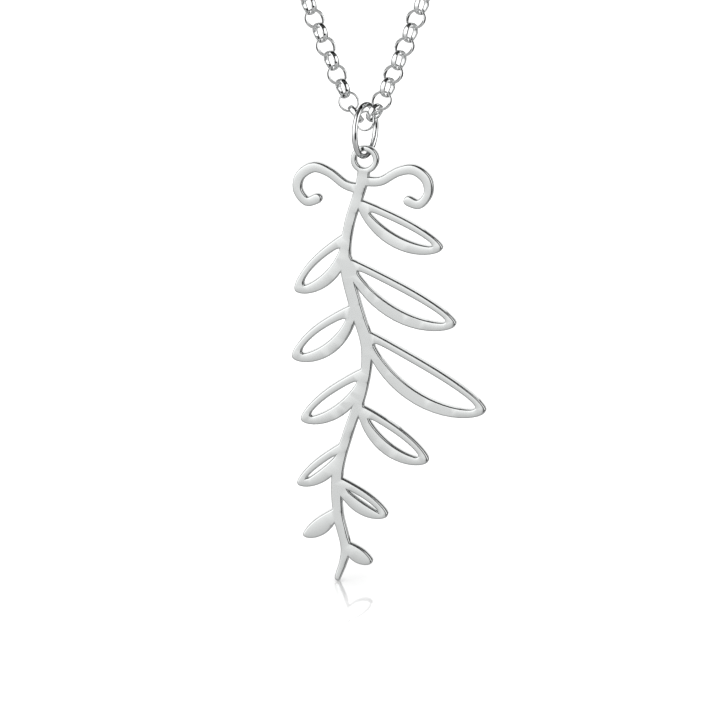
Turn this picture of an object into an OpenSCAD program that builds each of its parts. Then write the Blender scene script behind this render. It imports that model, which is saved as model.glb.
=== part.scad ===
// Nameplate necklace in polished silver. A flat pierced plate hangs by its eyelet
// from a jump ring, which slides on a closed loop of rolo chain. The loop is shown
// as it is worn: the front is a V that leans back as on a chest, and the sides lean
// further back round the neck to a clasp at the nape. +X is to the right seen from
// the front, the front faces -Y, and the origin is where the clasp rests on the nape.

/* [Chain] */
// Length of the whole closed loop, clasp included
chain_length = 400; // [380:5:420]
// Outer diameter of a link
link_d = 2.2; // [2.1:0.05:2.4]
// Thickness of a link's band, measured outwards from its hole
link_band = 0.22; // [0.18:0.01:0.24]
// Width of a link's band, along the axis of its hole
link_width = 0.6; // [0.5:0.02:0.62]
// Least clearance between linked links on a straight run
link_play = 0.145; // [0.12:0.005:0.2]
// Angle between each strand and the middle of the V
strand_angle = 21.9; // [18:0.05:27]
// Turn of the links about their strand, which shows their bands on the V's inner side
link_turn = 27; // [0:0.5:34]

/* [Neck] */
// Lean of the V back from straight up, as on a chest
front_lean = 20; // [14:0.5:24]
// Height of the V, along its lean, up to the shoulder
shoulder_height = 80; // [70:1:90]
// Radius of the bend over the shoulder
shoulder_radius = 40; // [34:1:46]
// Lean of the loop behind the shoulder
back_lean = 60; // [50:1:68]

/* [Jump ring] */
// Outer diameter of the jump ring
ring_d = 6; // [5.6:0.1:6.6]
// Wire diameter of the jump ring
ring_wire = 0.6; // [0.5:0.05:0.7]
// Turn of the ring's plane away from straight front to back
ring_yaw = 24; // [18:1:26]
// Clearance between the ring and the link that it hangs on
ring_play = 0.12; // [0.1:0.01:0.2]

/* [Plate] */
// Width of the plate across its widest leaves
plate_width = 20.5; // [18:0.1:24]
// Height of the plate without its eyelet
plate_height = 44.9; // [40:0.1:50]
// Turn of the plate about the vertical, as the turned ring lets it hang
plate_yaw = 8; // [0:0.5:12]
// Thickness of the sheet that the plate is cut from
plate_thickness = 1.2; // [0.9:0.05:1.3]
// Width of a full stroke of the pattern
stroke_width = 1.2; // [1:0.05:1.4]
// Outer diameter of the eyelet
eyelet_d = 2.95; // [2.8:0.05:3.3]
// Hole of the eyelet
eyelet_hole = 1.75; // [1.7:0.05:2]
// Clearance between the ring's wire and the top of the eyelet's hole
eyelet_play = 0.25; // [0.22:0.01:0.3]

/* [Clasp] */
// Outer diameter of the clasp's ring
clasp_d = 6.6; // [6:0.1:7.5]
// Wire diameter of the clasp's ring
clasp_wire = 1.1; // [0.9:0.05:1.3]
// Outer diameter of the eyes at the clasp's ends
eye_d = 3.2; // [3:0.1:3.6]
// Wire diameter of the eyes
eye_wire = 0.6; // [0.5:0.05:0.7]
// Length of the neck between the clasp's ring and each eye
clasp_neck = 1.5; // [1.2:0.1:2.5]

/* [Hidden] */
deg = 180 / PI;
round_steps = 96; // facets of a full circle, where one is shown
eps = 0.01;
silver = [0.85, 0.86, 0.86];

// How the lowest links leave the ring. The first step beside the lowest link
// points this much further out than the strand, each later step a share of that,
// and the links that bend round each other sit this share closer together.
bottom_spread = 32;
bottom_ease = 0.25;
bottom_slack = 0.14;
slack_ease = 0.5;
// The chain passes the ring nearly square to it, so it starts turned about the
// middle line of the V, and is back in the plane of the V after a few links.
bottom_yaw = 27;
yaw_ease = 0.35;
yaw_grip = 0.5;
turn_step = 8; // most that a link is turned against the one before it
forward_links = 6; // links over which a strand comes back into the plane of the loop

// Section of a link's band: flat inside and outside, widest in the middle
link_r = link_d / 2;
link_hole_r = link_r - link_band;
link_flat_in = 0.23 * link_width;
link_flat_out = 0.27 * link_width;
link_belly_r = link_r - 0.45 * link_band;
link_section = [
    [link_hole_r, -link_flat_in], [link_belly_r, -link_width / 2], [link_r, -link_flat_out],
    [link_r, link_flat_out], [link_belly_r, link_width / 2], [link_hole_r, link_flat_in]
];

// Clasp: half its length, from the nape to the centre of the last link of a strand
eye_r = (eye_d - eye_wire) / 2;
clasp_eye_x = clasp_d / 2 + clasp_neck + eye_d / 2;
last_link_reach = eye_r - eye_wire / 2 + link_hole_r - link_play;
clasp_half = clasp_eye_x + last_link_reach;

// Links on one strand, above the lowest link. The count is odd, so that the last
// link stands square to the clasp's eye.
pitch_most = sqrt(link_hole_r ^ 2 - link_flat_in ^ 2)
           + sqrt((link_hole_r - link_play) ^ 2 - link_flat_in ^ 2);
half_run = chain_length / 2 - clasp_half;
links = 2 * ceil((half_run / pitch_most - 1) / 2) + 1;
pitch = half_run / links;

// Route of a strand in the flat: steps from link to link, [out, up, forward]
function ease(first, share, k) = first * pow(share, k);
function bottom_heading(k) = strand_angle + ease(bottom_spread, bottom_ease, k);
function reach(k) = pitch * (1 - ease(bottom_slack, slack_ease, k));
function bottom_out(k) =
    reach(k) * sin(bottom_heading(k)) * cos(ease(bottom_yaw, yaw_ease, k)) - pitch * sin(strand_angle);
function sum(list, i = 0) = i < len(list) ? list[i] + sum(list, i + 1) : 0;
bottom_links = 24; // links after which the easing is over
bottom_extra = sum([for (k = [0:bottom_links]) bottom_out(k)]);
loop_turn = PI / 2 + strand_angle / deg; // turn of a strand round the neck, in radians
straight_run = (chain_length / 2 - bottom_extra / cos(strand_angle) * loop_turn)
             / (1 + tan(strand_angle) * loop_turn);
loop_r = (straight_run * sin(strand_angle) + bottom_extra) / cos(strand_angle);
function heading(k) = bottom_heading(k) - max(0, (k + 0.5) * pitch - straight_run) / loop_r * deg;
function step(k) = let (h = heading(k), y = ease(bottom_yaw, yaw_ease, k))
    reach(k) * [sin(h) * cos(y), cos(h), sin(h) * sin(y)];
flat_route = [
    for (k = 0, p = [0, 0, 0]; k <= links; p = p + (k < links ? step(k) : p), k = k + 1) p
];
forward_end = flat_route[links][2];

// The flat loop leans back as a whole, and further over the shoulder, without
// changing its length
shoulder_end = shoulder_height + shoulder_radius * (back_lean - front_lean) / deg;
function lean(up) =
    min(front_lean + max((up - shoulder_height) / shoulder_radius * deg, 0), back_lean);
function up_dir(a) = [0, sin(a), cos(a)];
function leaned(up) = let (a = lean(up))
    min(up, shoulder_height) * up_dir(front_lean)
    + shoulder_radius * [0, cos(front_lean) - cos(a), sin(a) - sin(front_lean)]
    + max(0, up - shoulder_end) * up_dir(back_lean);
function front_dir(up) = [0, -cos(lean(up)), sin(lean(up))];

// Nape: the clasp lies across, level with the pull of the last links
clasp_up = flat_route[links][1] + last_link_reach * cos(heading(links));
nape_up = clasp_up - clasp_d / 2;
nape = leaned(nape_up);

// Place of link k on a strand; side is 1 for the right strand and -1 for the left
function unit(v) = v / norm(v);
function link_point(side, k) =
    let (p = flat_route[k], forward = p[2] - forward_end * min(k / forward_links, 1))
    leaned(p[1]) + [side * p[0], 0, 0] + side * forward * front_dir(p[1]) - nape;
function across(v, up) = unit(v - (v * up) * up);
function link_along(side, k) =
    k == 0 ? across(link_point(side, 1) - link_point(side, 0), up_dir(front_lean))
    : k == links ? unit(link_point(side, k) - link_point(side, k - 1))
    : unit(link_point(side, k + 1) - link_point(side, k - 1));
function link_front(side, k) =
    let (along = link_along(side, k), yaw = ease(bottom_yaw, yaw_grip, k),
         front = cos(yaw) * front_dir(flat_route[k][1]) - [sin(yaw), 0, 0])
    across(front, along);
function link_axis(side, k) =
    let (along = link_along(side, k), front = link_front(side, k),
         turn = (k % 2) * 90 - side * min(link_turn, turn_step * k, turn_step * (links - k)))
    front * cos(turn) + cross(along, front) * sin(turn);
function link_place(side, k) =
    let (z = link_axis(side, k), x = link_along(side, k), y = cross(z, x), p = link_point(side, k))
    [[x[0], y[0], z[0], p[0]], [x[1], y[1], z[1], p[1]], [x[2], y[2], z[2], p[2]]];

module chain_link() {
    rotate_extrude($fn = round_steps / 2) polygon(link_section);
}

module strand(side, first) {
    for (k = [first:links]) multmatrix(link_place(side, k)) chain_link();
}

module chain_left() {
    color(silver) strand(-1, 1);
}

// The lowest link, which the jump ring hangs on, belongs to the right strand
module chain_right() {
    color(silver) strand(1, 0);
}

// Clasp: a plain ring with an eye on a short neck at each end
module wire_ring(outer_d, wire) {
    rotate_extrude($fn = round_steps) translate([(outer_d - wire) / 2, 0]) circle(d = wire, $fn = 32);
}

module clasp() {
    neck_start = (clasp_d - clasp_wire) / 2;
    neck_end = clasp_eye_x - eye_r;
    color(silver) translate(leaned(clasp_up) - nape) rotate([90 - lean(clasp_up), 0, 0]) {
        wire_ring(clasp_d, clasp_wire);
        for (side = [-1, 1]) {
            translate([side * clasp_eye_x, 0, 0]) wire_ring(eye_d, eye_wire);
            translate([side * neck_start, 0, 0]) rotate([0, side * 90, 0])
                cylinder(d = eye_wire * 1.3, h = neck_end - neck_start, $fn = 32);
        }
    }
}

// The ring hangs on the top of the lowest link's band, and swings about it
lowest = link_point(1, 0);
ring_r = (ring_d - ring_wire) / 2;
ring_pivot = lowest + (link_r - link_band / 2) * up_dir(front_lean);
ring_seat = link_width / 2 + ring_play + ring_wire / 2;
ring_centre = ring_pivot - [0, 0, ring_r - ring_seat];
plate_pivot = ring_centre - [0, 0, ring_r];

module jump_ring() {
    color(silver) translate(ring_centre) rotate([0, 90, -ring_yaw]) wire_ring(ring_d, ring_wire);
}

// The plate hangs with its eyelet over the ring's lowest wire
eyelet_centre = plate_pivot - [0, 0, eyelet_hole / 2 - ring_wire / 2 - eyelet_play];
plate_top = 0.4 * eyelet_hole; // from the eyelet's centre down to the top of the pattern

// Strokes of the pattern: rows of [across, down, width] as shares of the plate's
// width from the eyelet, of its height from the top, and of the full stroke
stem = [
    [0.00, -0.01, 1.1], [-0.02, 0.05, 1.0], [-0.08, 0.14, 0.9], [-0.10, 0.23, 1.0],
    [-0.05, 0.33, 1.1], [0.01, 0.43, 1.0], [-0.01, 0.53, 0.9], [-0.08, 0.63, 0.9],
    [-0.14, 0.73, 1.0], [-0.14, 0.83, 0.9], [-0.10, 0.92, 0.8], [-0.14, 0.99, 0.55]
];
tendrils = [
    [[-0.01, 0.035, 0.9], [0.08, 0.035, 0.8], [0.17, 0.012, 0.8], [0.25, 0.006, 0.9],
     [0.315, 0.028, 0.9], [0.325, 0.062, 0.8], [0.28, 0.087, 0.8], [0.225, 0.080, 0.9]],
    [[-0.02, 0.055, 0.9], [-0.10, 0.045, 0.8], [-0.18, 0.018, 0.8], [-0.26, 0.006, 0.9],
     [-0.33, 0.026, 0.9], [-0.345, 0.060, 0.8], [-0.30, 0.087, 0.8], [-0.245, 0.080, 0.9]]
];
// Leaves: [across and down at the base, across and down at the tip, bow, half
// width, open], with the bow a share of the leaf's length, the half width one of
// the plate's width, and open 1 for a pierced leaf and 0 for a solid one
leaves = [
    [-0.04, 0.08, 0.40, 0.19, -0.17, 0.080, 1],
    [-0.09, 0.16, -0.36, 0.30, 0.17, 0.080, 1],
    [-0.10, 0.22, 0.47, 0.37, -0.17, 0.095, 1],
    [-0.05, 0.33, -0.375, 0.46, 0.17, 0.085, 1],
    [-0.01, 0.39, 0.625, 0.575, -0.18, 0.110, 1],
    [0.01, 0.48, -0.33, 0.61, 0.17, 0.080, 1],
    [-0.03, 0.57, 0.33, 0.70, -0.17, 0.080, 1],
    [-0.10, 0.66, -0.35, 0.765, 0.17, 0.060, 1],
    [-0.145, 0.745, 0.12, 0.835, -0.17, 0.060, 1],
    [-0.14, 0.82, -0.32, 0.89, 0.17, 0.045, 0],
    [-0.11, 0.90, 0.04, 0.95, -0.17, 0.040, 0]
];
stroke_steps = 6; // points between two rows of a stroke
cap_steps = 8; // sides of a stroke's round end
leaf_steps = 24; // points along one side of a leaf
leaf_upper = 0.65; // wall above a leaf's opening, as a share of the full stroke
leaf_lower = 1.1; // wall below a leaf's opening, as a share of the full stroke
leaf_root = 1.5; // solid length at a leaf's root, in full strokes
leaf_end = 0.9; // solid length at a leaf's tip, in full strokes
leaf_skew = 1.15; // above 1 the widest place moves towards the tip
leaf_round = 0.55; // below 1 the ends are rounder

function to_plate(share) = [share[0] * plate_width, -share[1] * plate_height];
function curve(rows, i, t) =
    let (a = rows[max(i - 1, 0)], b = rows[i], c = rows[i + 1], d = rows[min(i + 2, len(rows) - 1)])
    (2 * b + (c - a) * t + (2 * a - 5 * b + 4 * c - d) * t ^ 2 + (3 * b - a - 3 * c + d) * t ^ 3) / 2;
function smooth(rows) = [
    for (i = [0:len(rows) - 2], s = [0:stroke_steps - 1]) curve(rows, i, s / stroke_steps),
    rows[len(rows) - 1]
];
function left_of(v) = [-v[1], v[0]];

module pen_stroke(rows) {
    path = smooth(rows);
    last = len(path) - 1;
    points = [for (row = path) to_plate(row)];
    radius = [for (row = path) row[2] * stroke_width / 2];
    side = [for (i = [0:last]) left_of(unit(points[min(i + 1, last)] - points[max(i - 1, 0)]))];
    function cap(i, start) = [
        for (s = [1:cap_steps - 1]) let (a = start + 180 * s / cap_steps)
            points[i] + radius[i] * (side[i] * cos(a) - left_of(side[i]) * sin(a))
    ];
    polygon(concat(
        [for (i = [0:last]) points[i] + radius[i] * side[i]],
        cap(last, 0),
        [for (i = [last:-1:0]) points[i] - radius[i] * side[i]],
        cap(0, 180)
    ));
}

module leaf_outline(base, tip, bow, half_left, half_right, from, to) {
    middle = (base + tip) / 2 + bow * left_of(tip - base);
    function rib(t) = base * (1 - t) ^ 2 + 2 * middle * t * (1 - t) + tip * t ^ 2;
    function rib_side(t) = left_of(unit((middle - base) * (1 - t) + (tip - middle) * t));
    function swell(t) = pow(sin(180 * pow(t, leaf_skew)), leaf_round);
    function along(s) = (1 - cos(180 * s / leaf_steps)) / 2;
    function edge(s, half) = let (t = along(s), at = from + (to - from) * t)
        rib(at) + half * swell(t) * rib_side(at);
    polygon(concat(
        [rib(from)], [for (s = [1:leaf_steps - 1]) edge(s, half_left)],
        [rib(to)], [for (s = [leaf_steps - 1:-1:1]) edge(s, -half_right)]
    ));
}

module leaf(row) {
    base = to_plate([row[0], row[1]]);
    tip = to_plate([row[2], row[3]]);
    half_width = row[5] * plate_width;
    length = norm(tip - base);
    upper = half_width - leaf_upper * stroke_width;
    lower = half_width - leaf_lower * stroke_width;
    to_right = tip[0] > base[0];
    difference() {
        leaf_outline(base, tip, row[4], half_width, half_width, 0, 1);
        if (row[6] == 1)
            leaf_outline(base, tip, row[4], to_right ? upper : lower, to_right ? lower : upper,
                         leaf_root * stroke_width / length, 1 - leaf_end * stroke_width / length);
    }
}

module pattern() {
    pen_stroke(stem);
    for (rows = tendrils) pen_stroke(rows);
    for (row = leaves) leaf(row);
}

module name_plate() {
    color(silver)
        translate(eyelet_centre) rotate([90, 0, -plate_yaw]) translate([0, 0, -plate_thickness / 2])
        difference() {
            union() {
                cylinder(d = eyelet_d, h = plate_thickness, $fn = round_steps);
                translate([0, -plate_top, 0]) linear_extrude(plate_thickness) pattern();
            }
            translate([0, 0, -eps])
                cylinder(d = eyelet_hole, h = plate_thickness + 2 * eps, $fn = round_steps);
        }
}

chain_left();
chain_right();
clasp();
jump_ring();
name_plate();
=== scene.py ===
# %% [markdown]
# A nameplate necklace in polished silver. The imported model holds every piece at
# its real size and place, and this script gives them their finish: first the
# links, the jump ring, the pierced plate and the clasp, and then the silver, the
# studio, the floor and the camera.

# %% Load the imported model
import math

import bmesh
import bpy
import numpy as np
from mathutils import Matrix, Vector


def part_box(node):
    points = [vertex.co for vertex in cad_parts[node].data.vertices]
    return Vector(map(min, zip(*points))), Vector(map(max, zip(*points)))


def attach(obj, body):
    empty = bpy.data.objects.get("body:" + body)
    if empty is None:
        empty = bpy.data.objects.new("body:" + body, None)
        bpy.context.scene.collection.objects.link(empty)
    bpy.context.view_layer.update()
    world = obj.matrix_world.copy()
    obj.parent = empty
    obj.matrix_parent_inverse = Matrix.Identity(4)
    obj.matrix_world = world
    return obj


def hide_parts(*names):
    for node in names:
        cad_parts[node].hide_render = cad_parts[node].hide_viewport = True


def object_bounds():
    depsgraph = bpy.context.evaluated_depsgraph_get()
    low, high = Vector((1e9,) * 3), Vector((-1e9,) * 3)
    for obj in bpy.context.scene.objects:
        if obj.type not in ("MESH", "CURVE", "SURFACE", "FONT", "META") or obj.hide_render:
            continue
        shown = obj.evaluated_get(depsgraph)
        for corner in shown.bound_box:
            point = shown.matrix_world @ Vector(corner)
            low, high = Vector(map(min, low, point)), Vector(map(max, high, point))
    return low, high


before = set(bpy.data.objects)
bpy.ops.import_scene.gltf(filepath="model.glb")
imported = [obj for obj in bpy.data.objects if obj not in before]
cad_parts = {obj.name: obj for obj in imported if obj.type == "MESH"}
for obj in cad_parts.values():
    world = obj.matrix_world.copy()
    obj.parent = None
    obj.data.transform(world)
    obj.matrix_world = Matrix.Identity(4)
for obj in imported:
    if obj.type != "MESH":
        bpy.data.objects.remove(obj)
cad_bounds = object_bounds()
MM = 0.001

# %% [markdown]
# Every new piece is built in a bmesh, which is Blender's mesh for editing in
# code. When it is ready it becomes an object that lies at the origin with its
# place in its points, rides on a body of the model and stands for one node.

# %% Turn a bmesh into a piece
def new_piece(name, bm, body, node):
    mesh = bpy.data.meshes.new(name)
    bm.to_mesh(mesh)
    bm.free()
    mesh.shade_smooth()
    piece = bpy.data.objects.new(name, mesh)
    bpy.context.scene.collection.objects.link(piece)
    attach(piece, body)
    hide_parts(node)
    print(f"{name}: {len(mesh.polygons)} faces")
    return piece

# %% [markdown]
# The model's meshes are loose triangles, so a copy is merged before it is used.
# Points that an edge joins then belong together, and a walk from point to point
# collects them. A walk that takes every way ahead gathers a whole solid, and one
# that takes a single way at a time follows an outline in order.

# %% Walk from point to point
MERGE = 0.002 * MM

def merged_copy(node):
    bm = bmesh.new()
    bm.from_mesh(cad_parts[node].data)
    bmesh.ops.remove_doubles(bm, verts=bm.verts, dist=MERGE)
    return bm

def walks(bm, most_ways=None):
    seen = set()
    found = []
    for start in bm.verts:
        if start in seen:
            continue
        seen.add(start)
        walk = [start]
        for vert in walk:
            ahead = [edge.other_vert(vert) for edge in vert.link_edges]
            ahead = [other for other in ahead if other not in seen][:most_ways]
            seen.update(ahead)
            walk.extend(ahead)
        found.append([vert.co.copy() for vert in walk])
    return found

# %% [markdown]
# A strand is one node that holds over a hundred loose links. The walk takes it
# apart into an array of points for each link.

# %% Collect the loose solids of a node
def loose_solids(node):
    bm = merged_copy(node)
    solids = [np.array(walk) for walk in walks(bm)]
    bm.free()
    print(f"{node}: {len(solids)} loose solids")
    return solids

# %% [markdown]
# A link is a flat ring, so its points spread least along the axis of its hole.
# The eigenvectors of their covariance give that axis, and the distances from it
# give the outer radius, the radius of the hole and the width of the band.

# %% Measure a ring from its points
def measure_ring(points):
    centre = points.mean(axis=0)
    offsets = points - centre
    directions = np.linalg.eigh(offsets.T @ offsets)[1]
    axis = directions[:, 0]  # the one of least spread comes first
    along = offsets @ axis
    radii = np.linalg.norm(offsets - np.outer(along, axis), axis=1)
    return {
        "centre": Vector(centre),
        "axis": Vector(axis),
        "outer_r": radii.max(),
        "hole_r": radii.min(),
        "width": np.ptp(along),
    }

strands = {
    node: [measure_ring(points) for points in loose_solids(node)]
    for node in ("chain_left", "chain_right")
}
link = strands["chain_left"][0]
print({key: round(link[key] / MM, 3) for key in ("outer_r", "hole_r", "width")}, "mm")

# %% [markdown]
# Two of the shapes below are spun, and a spin leaves its new faces and edges in an
# order that changes from run to run. The points keep theirs, so a sort by the
# numbers of their points makes every run the same.

# %% Put faces and edges in order
def in_order(bm):
    bm.verts.index_update()
    count = len(bm.verts)

    def rank(part):
        numbers = [vert.index for vert in part.verts]
        return min(numbers) * count + max(numbers)

    for parts in (bm.edges, bm.faces):
        parts.sort(key=rank)
        parts.index_update()
    return bm

# %% [markdown]
# A rolo link is a short length of half-round wire, bent into a ring and soldered.
# It could be a torus, but then its wire would be round. Here the section of the
# band is drawn once and spun into a ring: flat towards the hole, domed outside.
# The cage has only sixty faces, because the necklace repeats it 243 times, and a
# Subdivision Surface rounds it.

# %% Spin one link
LINK_STEPS = 12
# Corners of the section: share of the band's height, share of its width
DOME = [(0.0, -0.36), (0.55, -0.5), (1.0, 0.0), (0.55, 0.5), (0.0, 0.36)]

def spun_ring(section, steps):
    bm = bmesh.new()
    verts = [bm.verts.new((radius, 0, height)) for radius, height in section]
    edges = [bm.edges.new(pair) for pair in zip(verts, verts[1:] + verts[:1])]
    bmesh.ops.spin(
        bm, geom=verts + edges, cent=(0, 0, 0), axis=(0, 0, 1), dvec=(0, 0, 0),
        angle=math.tau, steps=steps, use_merge=True, use_duplicate=False,
    )
    bmesh.ops.recalc_face_normals(bm, faces=bm.faces)
    return in_order(bm)

def link_cage(size):
    band = size["outer_r"] - size["hole_r"]
    section = [
        (size["hole_r"] + share * band, height * size["width"]) for share, height in DOME
    ]
    return spun_ring(section, LINK_STEPS)

cage = link_cage(link)
print("one link has", len(cage.faces), "faces")

# %% [markdown]
# Subdivision draws each radius in by the same share and pulls the section's
# corners together, so a scale across and one along the axis bring the finished
# link back to its measured outside. Its hole then comes out a little wide, which
# leaves the linked links room.

# %% Fit the cage to the measured link
LINK_LEVELS = 1

def subdivided_reach(mesh, levels):
    probe = bpy.data.objects.new("reach", mesh)
    bpy.context.scene.collection.objects.link(probe)
    probe.modifiers.new("round", "SUBSURF").levels = levels
    bpy.context.view_layer.update()
    shape = probe.evaluated_get(bpy.context.evaluated_depsgraph_get()).to_mesh()
    radii = [math.hypot(v.co.x, v.co.y) for v in shape.vertices]
    half_width = max(v.co.z for v in shape.vertices)
    bpy.data.objects.remove(probe)
    return max(radii), half_width, min(radii)

def fitted_link(bm, size):
    mesh = bpy.data.meshes.new("link")
    bm.to_mesh(mesh)
    outer_r, half_width, hole_r = subdivided_reach(mesh, LINK_LEVELS)
    grow = size["outer_r"] / outer_r
    widen = size["width"] / 2 / half_width
    bmesh.ops.scale(bm, vec=(grow, grow, widen), verts=bm.verts)
    bm.to_mesh(mesh)
    bm.free()
    print(f"link cage grown {grow:.3f} times across, hole radius {hole_r * grow / MM:.3f} mm")
    return mesh

link_mesh = fitted_link(cage, link)

# %% [markdown]
# A strand is one piece, so each link's mesh is copied into the same bmesh and
# turned and moved to its measured place.

# %% Lay the links in each strand
def add_mesh(bm, mesh, matrix):
    before = len(bm.verts)
    bm.from_mesh(mesh)
    bm.verts.ensure_lookup_table()
    bmesh.ops.transform(bm, matrix=matrix, verts=bm.verts[before:])

def place(centre, axis):
    return Matrix.Translation(centre) @ axis.to_track_quat("Z", "Y").to_matrix().to_4x4()

def make_strand(node):
    bm = bmesh.new()
    for size in strands[node]:
        add_mesh(bm, link_mesh, place(size["centre"], size["axis"]))
    piece = new_piece(node + "_links", bm, "chain", node)
    rounding = piece.modifiers.new("round", "SUBSURF")
    rounding.levels = rounding.render_levels = LINK_LEVELS
    return piece

chain_pieces = [make_strand(node) for node in strands]

# %% [markdown]
# The jump ring is round wire bent into a circle, with its two ends brought
# together. A round section is spun not quite all the way, and the gap that is
# left is the hairline joint where the ends meet.

# %% Bend the jump ring
RING_STEPS = 96
WIRE_SIDES = 20
JOINT_GAP = 0.03 * MM
END_ROUNDING = 0.05 * MM

def bent_ring(size):
    wire_r = size["width"] / 2
    middle_r = size["outer_r"] - wire_r
    upright = Matrix.Rotation(math.pi / 2, 3, "X")
    bm = bmesh.new()
    bmesh.ops.create_circle(bm, cap_ends=False, segments=WIRE_SIDES, radius=wire_r)
    bmesh.ops.rotate(bm, cent=(0, 0, 0), matrix=upright, verts=bm.verts)
    bmesh.ops.translate(bm, vec=(middle_r, 0, 0), verts=bm.verts)
    bmesh.ops.spin(
        bm, geom=bm.verts[:] + bm.edges[:], cent=(0, 0, 0), axis=(0, 0, 1),
        dvec=(0, 0, 0), angle=math.tau - JOINT_GAP / middle_r, steps=RING_STEPS,
        use_merge=False, use_duplicate=False,
    )
    ends = [edge for edge in bm.edges if edge.is_boundary]
    bmesh.ops.holes_fill(bm, edges=ends, sides=0)
    bmesh.ops.recalc_face_normals(bm, faces=bm.faces)
    bmesh.ops.bevel(
        bm, geom=ends, offset=END_ROUNDING, affect="EDGES", segments=2, profile=0.5,
        material=-1,
    )
    return in_order(bm)

ring = measure_ring(loose_solids("jump_ring")[0])
ring_bm = bent_ring(ring)
print("jump ring bent from", round(ring["width"] / MM, 2), "mm wire")

# %% [markdown]
# The spin starts on the ring's own x axis, so the joint is there. Turning the ring
# in its plane hides the joint high at the back, away from the link and the eyelet.

# %% Hang the jump ring
UP = Vector((0, 0, 1))
JOINT_AT = math.radians(40)  # above the ring's middle, at its back

def ring_place(size):
    back = Vector((size["axis"].y, -size["axis"].x, 0)).normalized()
    if back.y < 0:
        back.negate()
    joint_way = math.cos(JOINT_AT) * back + math.sin(JOINT_AT) * UP
    turn = Matrix((joint_way, size["axis"].cross(joint_way), size["axis"])).transposed()
    return Matrix.Translation(size["centre"]) @ turn.to_4x4()

bmesh.ops.transform(ring_bm, matrix=ring_place(ring), verts=ring_bm.verts)
jump_ring = new_piece("jump_ring_wire", ring_bm, "ring", "jump_ring")

# %% [markdown]
# The plate is sawn from sheet, and its outline is already right in the model. So
# the edges around the front face are kept in a merged copy and all else is cut
# away. The front is found by its depth and not by the faces' normals, because a
# sliver has no sure normal.

# %% Trace the plate's outline
def front_edges(node):
    bm = merged_copy(node)
    ahead = [face for face in bm.faces if face.normal.y < 0]
    facing = max(ahead, key=bmesh.types.BMFace.calc_area).normal.copy()
    depths = [vert.co.dot(facing) for vert in bm.verts]
    front, back = max(depths), min(depths)
    behind = [vert for vert, depth in zip(bm.verts, depths) if depth < front - MERGE]
    bmesh.ops.delete(bm, geom=behind, context="VERTS")
    inside = [edge for edge in bm.edges if not edge.is_boundary]
    bmesh.ops.delete(bm, geom=bm.faces[:], context="FACES_ONLY")
    bmesh.ops.delete(bm, geom=inside, context="EDGES")
    return bm, facing, front - back

traced, facing, thickness = front_edges("name_plate")
print(f"{len(traced.verts)} points on the outline, sheet {thickness / MM:.2f} mm thick")

# %% [markdown]
# The walk puts the points in order, one loop for the outside and one for each
# opening. Where two curves cross, the outline has very short edges that a bevel
# would fold over, so points that follow each other too closely are left out. The
# loops are then filled and extruded back to the thickness of the sheet.

# %% Cut the plate's blank
SHORTEST_EDGE = 0.14 * MM
ENLARGED = 1000  # the fill rounds too coarsely for a piece of a few millimetres

def thinned(loop):
    kept = [loop[0]]
    for point in loop[1:]:
        if min((point - kept[-1]).length, (point - kept[0]).length) > SHORTEST_EDGE:
            kept.append(point)
    return kept

def filled(loops, facing):
    bm = bmesh.new()
    for loop in loops:
        verts = [bm.verts.new(ENLARGED * point) for point in loop]
        for pair in zip(verts, verts[1:] + verts[:1]):
            bm.edges.new(pair)
    bmesh.ops.triangle_fill(
        bm, use_beauty=True, use_dissolve=False, edges=bm.edges, normal=facing,
    )
    bmesh.ops.scale(bm, vec=[1 / ENLARGED] * 3, verts=bm.verts)
    area = sum(face.calc_area() for face in bm.faces) / MM ** 2
    print(f"blank: {len(loops)} loops, {area:.1f} mm2 of sheet")
    return bm

def thickened(bm, facing, thickness):
    back = bmesh.ops.extrude_face_region(bm, geom=bm.faces[:])["geom"]
    back_verts = [part for part in back if isinstance(part, bmesh.types.BMVert)]
    bmesh.ops.translate(bm, vec=-thickness * facing, verts=back_verts)
    bmesh.ops.recalc_face_normals(bm, faces=bm.faces)
    return bm

loops = [thinned(loop) for loop in walks(traced, most_ways=1)]
traced.free()
blank = thickened(filled(loops, facing), facing, thickness)

# %% [markdown]
# Polishing rounds the rim of both faces. The rim's edges lie square to the
# direction that the plate faces, and the faces meet at a right angle there, so
# those edges are picked and bevelled. Weighted normals then keep the large faces
# flat to the eye and put all the shading of the rounding into the narrow strip.

# %% Round the plate's edges
EDGE_ROUNDING = 0.17 * MM
ROUNDING_STEPS = 4
RIM_ANGLE = math.radians(60)
SHARP = math.radians(40)

def rounded_plate(bm, facing):
    rim = [
        edge for edge in bm.edges
        if edge.calc_face_angle() > RIM_ANGLE
        and abs((edge.verts[0].co - edge.verts[1].co).dot(facing)) < MERGE
    ]
    bmesh.ops.bevel(
        bm, geom=rim, offset=EDGE_ROUNDING, affect="EDGES", segments=ROUNDING_STEPS,
        profile=0.5, material=-1, clamp_overlap=False,
    )
    print(len(rim), "rim edges rounded")
    return bm

plate = new_piece(
    "name_plate_polished", rounded_plate(blank, facing),
    "plate", "name_plate",
)
plate.data.set_sharp_from_angle(angle=SHARP)
shading = plate.modifiers.new("shading", "WEIGHTED_NORMAL")
shading.keep_sharp = True

# %% [markdown]
# The clasp lies hidden at the nape and stays a plain ring, so its own mesh is
# enough. A narrow bevel on its crisp edges lets them catch the light.

# %% Finish the clasp
CLASP_ROUNDING = 0.06 * MM

clasp = new_piece(
    "clasp_body", merged_copy("clasp"), "chain", "clasp",
)
softening = clasp.modifiers.new("softening", "BEVEL")
softening.width = CLASP_ROUNDING
softening.segments = 2
softening.limit_method = "ANGLE"
softening.angle_limit = SHARP

# %% [markdown]
# Polished silver is a mirror with a faint grey cast. What tells it from chrome is
# its surface: a breath of tarnish, a soft unevenness and hairline marks from the
# buffing wheel. All three come from noise on Object coordinates. A first noise
# sets both the tint and how sharply the silver mirrors.

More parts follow.
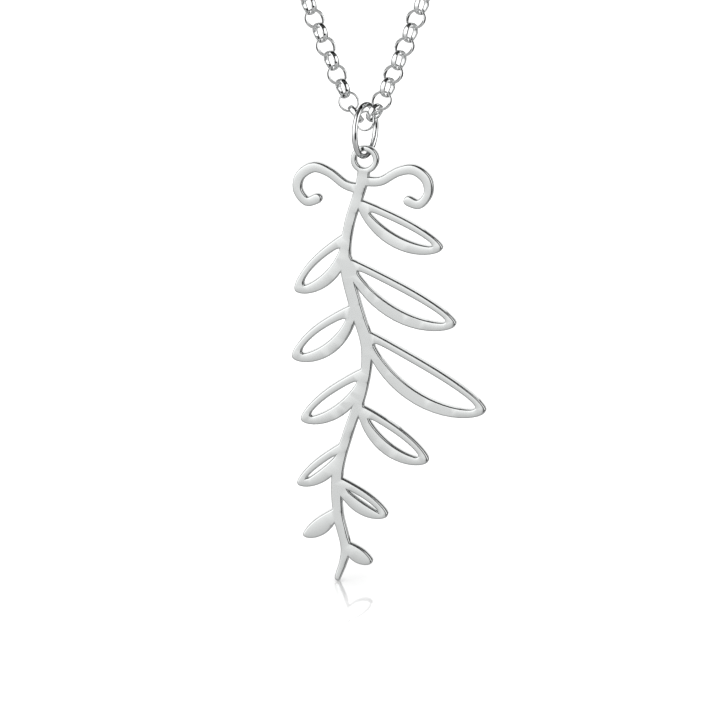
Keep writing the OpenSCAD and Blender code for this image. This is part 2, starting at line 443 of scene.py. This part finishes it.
# %% Breathe tarnish on the silver
TARNISH_SCALE, TARNISH_DETAIL = 260, 4
HAZE_FROM, HAZE_TO = 0.3, 0.7  # the part of the noise over which the mirror dulls

def add_tarnish(tree, shader, place_on, bright, dull, rough):
    tarnish = tree.nodes.new("ShaderNodeTexNoise")
    tarnish.inputs["Scale"].default_value = TARNISH_SCALE
    tarnish.inputs["Detail"].default_value = TARNISH_DETAIL
    tree.links.new(place_on, tarnish.inputs["Vector"])
    tint = tree.nodes.new("ShaderNodeMix")
    tint.data_type = "RGBA"
    tint.inputs["A"].default_value = (*bright, 1)
    tint.inputs["B"].default_value = (*dull, 1)
    tree.links.new(tarnish.outputs["Fac"], tint.inputs["Factor"])
    tree.links.new(tint.outputs["Result"], shader.inputs["Base Color"])
    haze = tree.nodes.new("ShaderNodeMapRange")
    haze.inputs["From Min"].default_value = HAZE_FROM
    haze.inputs["From Max"].default_value = HAZE_TO
    haze.inputs["To Min"].default_value = rough[0]
    haze.inputs["To Max"].default_value = rough[1]
    tree.links.new(tarnish.outputs["Fac"], haze.inputs["Value"])
    tree.links.new(haze.outputs["Result"], shader.inputs["Roughness"])

# %% [markdown]
# The marks of the buffing wheel are a second noise, far finer and drawn out along
# one way. It only bends the surface, by less than a thousandth of a millimetre.

# %% Buff the silver
MARK_DETAIL = 6
MARK_SLANT = math.radians(35)
MARK_SQUEEZE = 0.12  # below 1 the marks are longer than they are wide

def add_marks(tree, shader, place_on, depth, scale):
    stretch = tree.nodes.new("ShaderNodeMapping")
    stretch.inputs["Rotation"].default_value = (0, MARK_SLANT, 0)
    stretch.inputs["Scale"].default_value = (MARK_SQUEEZE, 1, 1)
    tree.links.new(place_on, stretch.inputs["Vector"])
    marks = tree.nodes.new("ShaderNodeTexNoise")
    marks.inputs["Scale"].default_value = scale
    marks.inputs["Detail"].default_value = MARK_DETAIL
    tree.links.new(stretch.outputs["Vector"], marks.inputs["Vector"])
    bump = tree.nodes.new("ShaderNodeBump")
    bump.inputs["Strength"].default_value = 1.0
    bump.inputs["Distance"].default_value = depth
    tree.links.new(marks.outputs["Fac"], bump.inputs["Height"])
    tree.links.new(bump.outputs["Normal"], shader.inputs["Normal"])

# %% [markdown]
# The chain and the jump ring are bright. The plate gets a darker copy of the same
# silver, painted shade that greys what its flat face mirrors, and a softer mirror.

# %% Mix the silver
SILVER, SILVER_DULL = (0.86, 0.87, 0.87), (0.8, 0.81, 0.81)
# the plate's pair is darker than the chain's: painted shade on its flat face, over the tarnish
PLATE_SHADED_SILVER, PLATE_SHADED_DULL = (0.72, 0.735, 0.73), (0.68, 0.695, 0.69)

def polished_silver(name, bright, dull, rough, mark_depth, mark_scale):
    material = bpy.data.materials.new(name)
    material.use_nodes = True
    tree = material.node_tree
    shader = tree.nodes["Principled BSDF"]
    shader.inputs["Metallic"].default_value = 1.0
    place_on = tree.nodes.new("ShaderNodeTexCoord").outputs["Object"]
    add_tarnish(tree, shader, place_on, bright, dull, rough)
    add_marks(tree, shader, place_on, mark_depth, mark_scale)
    return material

chain_silver = polished_silver(
    "polished_silver_chain", SILVER, SILVER_DULL, rough=(0.05, 0.12),
    mark_depth=0.0008 * MM, mark_scale=6000,
)
ring_silver = polished_silver(
    "polished_silver_ring", SILVER, SILVER_DULL, rough=(0.05, 0.1),
    mark_depth=0.0008 * MM, mark_scale=5000,
)
plate_shaded_silver = polished_silver(
    "polished_silver_plate", PLATE_SHADED_SILVER, PLATE_SHADED_DULL, rough=(0.08, 0.16),
    mark_depth=0.0006 * MM, mark_scale=4000,
)
for piece in chain_pieces + [clasp]:
    piece.data.materials.append(chain_silver)
jump_ring.data.materials.append(ring_silver)
plate.data.materials.append(plate_shaded_silver)
print("silver on", len(chain_pieces) + 3, "pieces")

# %% [markdown]
# Silver shows its surroundings more than itself, so the studio is built as a sky
# that the silver can mirror. Lamps would leave small hot spots, and a sky can be
# drawn from a few ramps instead. Each ramp turns the direction of a mirrored ray
# into a brightness: how far it points along one axis, from -1 to 1.

# %% Draw a ramp along a direction
def toward(tree, direction):
    way = tree.nodes.new("ShaderNodeTexCoord")
    dot = tree.nodes.new("ShaderNodeVectorMath")
    dot.operation = "DOT_PRODUCT"
    dot.inputs[1].default_value = direction.normalized()
    tree.links.new(way.outputs["Generated"], dot.inputs[0])
    return dot.outputs["Value"]

def ramp(tree, direction, stops):
    share = tree.nodes.new("ShaderNodeMapRange")
    share.inputs["From Min"].default_value = -1.0
    tree.links.new(toward(tree, direction), share.inputs["Value"])
    steps = tree.nodes.new("ShaderNodeValToRGB")
    elements = steps.color_ramp.elements
    while len(elements) < len(stops):
        elements.new(0.5)  # each gets its own position below
    for element, (at, brightness) in zip(elements, sorted(stops)):
        element.position = (at + 1) / 2
        element.color = (brightness, brightness, brightness, 1)
    tree.links.new(share.outputs["Result"], steps.inputs["Fac"])
    return steps.outputs["Color"]

# %% [markdown]
# The sky is one long product: the white tent, times what each dark flag leaves of
# it. So the flags need a node that multiplies and one that turns a share of light
# taken away into the share that is left.

# %% Put ramps together
def multiply(tree, *factors):
    product = factors[0]
    for factor in factors[1:]:
        both = tree.nodes.new("ShaderNodeMath")
        both.operation = "MULTIPLY"
        tree.links.new(product, both.inputs[0])
        tree.links.new(factor, both.inputs[1])
        product = both.outputs["Value"]
    return product

def dimmed(tree, amount):
    rest = tree.nodes.new("ShaderNodeMath")
    rest.operation = "SUBTRACT"
    rest.inputs[0].default_value = 1.0
    tree.links.new(amount, rest.inputs[1])
    return rest.outputs["Value"]

# %% [markdown]
# Black flags stand between the backdrop and the side lights, deeper on the right
# than on the left, and every edge that turns away from the viewer mirrors them as
# a thin dark line. Another flag hangs overhead and puts a dark spot on top of each
# link.

# %% Stand the flags
BACK, RIGHT = Vector((0, 1, 0)), Vector((1, 0, 0))
STANDING = [(-0.6, 0), (-0.4, 1)]  # height at which what stands on the table begins
FLAG_NEAR, FLAG_FAR, FLAG_SOFT = 28, 80, 6  # degrees from straight behind
FLAG_SIDES = [(-0.2, 0.85), (0.2, 0.95)]  # left and right, share of light taken away
BACKDROP_DIM = 0.25
TOP_FLAG = Vector((0.15, 0.1, 1))
TOP_FLAG_REACH, TOP_FLAG_DARK = 36, 0.95

def degrees_off(angle):
    return math.cos(math.radians(angle))

def side_flags(tree):
    band = ramp(tree, BACK, [
        (degrees_off(FLAG_FAR + FLAG_SOFT), 0), (degrees_off(FLAG_FAR), 1),
        (degrees_off(FLAG_NEAR), 1), (degrees_off(FLAG_NEAR - FLAG_SOFT), BACKDROP_DIM),
    ])
    return multiply(tree, band, ramp(tree, RIGHT, FLAG_SIDES), ramp(tree, UP, STANDING))

def top_flag(tree):
    return ramp(tree, TOP_FLAG, [
        (degrees_off(TOP_FLAG_REACH + FLAG_SOFT), 0),
        (degrees_off(TOP_FLAG_REACH), TOP_FLAG_DARK),
    ])

# %% [markdown]
# A gap between two front lights draws the dark line down the middle of round wire.
# A tall gap does that on every wire, and a second one, lower and wider, thickens
# the line where the wire stands upright.

# %% Leave gaps between the front lights
GAP_SOFT, GAP_DARK = 6, 0.97
GAP_FRONT = [(0.2, 0), (0.5, 1)]  # a gap is cut on the viewer's side alone
TALL_GAP = (19, 38)  # middle and width, in degrees to the right of straight ahead
LOW_GAP = (31, 62)
LOW_GAP_HEIGHTS = [(-0.42, 0), (-0.34, 1), (-0.12, 1), (-0.04, 0)]

def upright_gap(tree, middle, width, heights):
    azimuth = math.radians(middle)
    dark_to = math.sin(math.radians(width / 2))
    soft_to = math.sin(math.radians(width / 2 + GAP_SOFT))
    ahead = Vector((math.sin(azimuth), -math.cos(azimuth), 0))
    sideways = Vector((math.cos(azimuth), math.sin(azimuth), 0))
    strip = ramp(tree, sideways, [
        (-soft_to, 0), (-dark_to, GAP_DARK), (dark_to, GAP_DARK), (soft_to, 0),
    ])
    return multiply(tree, strip, ramp(tree, ahead, GAP_FRONT), ramp(tree, UP, heights))

# %% [markdown]
# Above the horizon everything is a white tent, and below it the table is a little
# darker, most of all straight down. That gives the flat faces their light grey and
# the undersides a grey line. Only mirrored rays see the table and the flags. The
# camera and the light that falls on the floor get the plain white tent, which a
# Light Path node decides.

# %% Hang the studio
SKY = 1.5
WHITE = (1, 1, 1, 1)
TABLE = [(-0.7, 0.3), (-0.3, 0.56), (-0.17, 0.67), (0.06, 1)]  # height, brightness

def studio():
    world = bpy.data.worlds.new("studio")
    bpy.context.scene.world = world
    world.use_nodes = True
    tree = world.node_tree
    background = tree.nodes["Background"]
    background.inputs["Strength"].default_value = SKY
    shades = [
        side_flags(tree), top_flag(tree), upright_gap(tree, *TALL_GAP, STANDING),
        upright_gap(tree, *LOW_GAP, LOW_GAP_HEIGHTS),
    ]
    tent = multiply(tree, ramp(tree, UP, TABLE), *[dimmed(tree, shade) for shade in shades])
    path = tree.nodes.new("ShaderNodeLightPath")
    seen = tree.nodes.new("ShaderNodeMix")
    seen.data_type = "RGBA"
    seen.inputs["A"].default_value = WHITE
    tree.links.new(path.outputs["Is Glossy Ray"], seen.inputs["Factor"])
    tree.links.new(tent, seen.inputs["B"])
    tree.links.new(seen.outputs["Result"], background.inputs["Color"])
    print("studio sky of strength", SKY, "with", len(shades), "dark shapes")

studio()

# %% [markdown]
# The plate's tail all but touches a pale floor, which holds a faint image of it
# that fades out within a few millimetres. A single glossy shader would mirror the
# whole plate, so a matt and a mirroring shader are mixed, and the mirror's share
# falls to nothing all round the tail.

# %% Mix the floor's finish
FLOOR_WHITE = 0.87
MIRROR_SHARE = 0.5
MIRROR_FADE = 30 * MM  # all round the place below the jump ring

ring_low, ring_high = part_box("jump_ring")
ring_middle = (ring_low + ring_high) / 2

def floor_finish():
    material = bpy.data.materials.new("pale_floor")
    material.use_nodes = True
    nodes, links = material.node_tree.nodes, material.node_tree.links
    matt = nodes["Principled BSDF"]
    matt.inputs["Base Color"].default_value = (FLOOR_WHITE, FLOOR_WHITE, FLOOR_WHITE, 1)
    matt.inputs["Roughness"].default_value = 1.0
    matt.inputs["Specular IOR Level"].default_value = 0.0
    mirror = nodes.new("ShaderNodeBsdfGlossy")
    mirror.inputs["Roughness"].default_value = 0.0
    place_on = nodes.new("ShaderNodeTexCoord")
    away = nodes.new("ShaderNodeVectorMath")
    away.operation = "DISTANCE"
    away.inputs[1].default_value = (ring_middle.x, ring_middle.y, cad_bounds[0].z)
    links.new(place_on.outputs["Object"], away.inputs[0])
    fade = nodes.new("ShaderNodeMapRange")
    fade.inputs["From Max"].default_value = MIRROR_FADE
    fade.inputs["To Min"].default_value = MIRROR_SHARE
    fade.inputs["To Max"].default_value = 0.0
    links.new(away.outputs["Value"], fade.inputs["Value"])
    both = nodes.new("ShaderNodeMixShader")
    links.new(fade.outputs["Result"], both.inputs["Fac"])
    links.new(matt.outputs["BSDF"], both.inputs[1])
    links.new(mirror.outputs["BSDF"], both.inputs[2])
    links.new(both.outputs["Shader"], nodes["Material Output"].inputs["Surface"])
    return material

# %% [markdown]
# The floor isn't part of the necklace. The silver mirrors
# the sky's grey table in its place, so the floor is hidden from mirrored rays.

# %% Lay the floor
FLOOR_GAP = 0.06 * MM
FLOOR_REACH = 3.0

def pale_floor():
    bm = bmesh.new()
    bmesh.ops.create_grid(bm, x_segments=1, y_segments=1, size=FLOOR_REACH)
    bmesh.ops.translate(bm, vec=(0, 0, cad_bounds[0].z - FLOOR_GAP), verts=bm.verts)
    mesh = bpy.data.meshes.new("floor")
    bm.to_mesh(mesh)
    bm.free()
    mesh.materials.append(floor_finish())
    floor = bpy.data.objects.new("floor", mesh)
    bpy.context.scene.collection.objects.link(floor)
    floor.visible_glossy = False
    print("floor at", round(mesh.vertices[0].co.z / MM, 2), "mm")

pale_floor()

# %% [markdown]
# The photograph looks slightly down on the necklace, from straight in front. A
# long lens from over half a metre keeps the proportions as flat as they are there.
# The frame is set by its real width, and its middle is given from the jump ring.

# %% Place the camera
VIEW_ELEVATION = math.radians(13)
FRAME_WIDTH = 74.9 * MM
LENS_DISTANCE = 0.6
SENSOR = 36
CLIP_NEAR, CLIP_FAR = 0.01, 20
FRAME_RIGHT = -0.54 * MM  # from the jump ring's middle to the frame's middle
FRAME_UP = -23.9 * MM

def place_camera():
    away = Vector((0, -math.cos(VIEW_ELEVATION), math.sin(VIEW_ELEVATION)))
    turn = away.to_track_quat("Z", "Y")
    right, up = turn @ Vector((1, 0, 0)), turn @ Vector((0, 1, 0))
    target = ring_middle + FRAME_RIGHT * right + FRAME_UP * up
    stand = Matrix.Translation(target + LENS_DISTANCE * away)
    data = bpy.data.cameras.new("camera")
    data.sensor_width = SENSOR
    data.lens = SENSOR * LENS_DISTANCE / FRAME_WIDTH
    data.clip_start, data.clip_end = CLIP_NEAR, CLIP_FAR
    camera = bpy.data.objects.new("camera", data)
    bpy.context.scene.collection.objects.link(camera)
    camera.matrix_world = stand @ turn.to_matrix().to_4x4()
    bpy.context.scene.camera = camera
    print("camera at", [round(c, 4) for c in camera.location], "lens", round(data.lens, 1), "mm")

place_camera()
bpy.context.scene.view_settings.view_transform = "Standard"
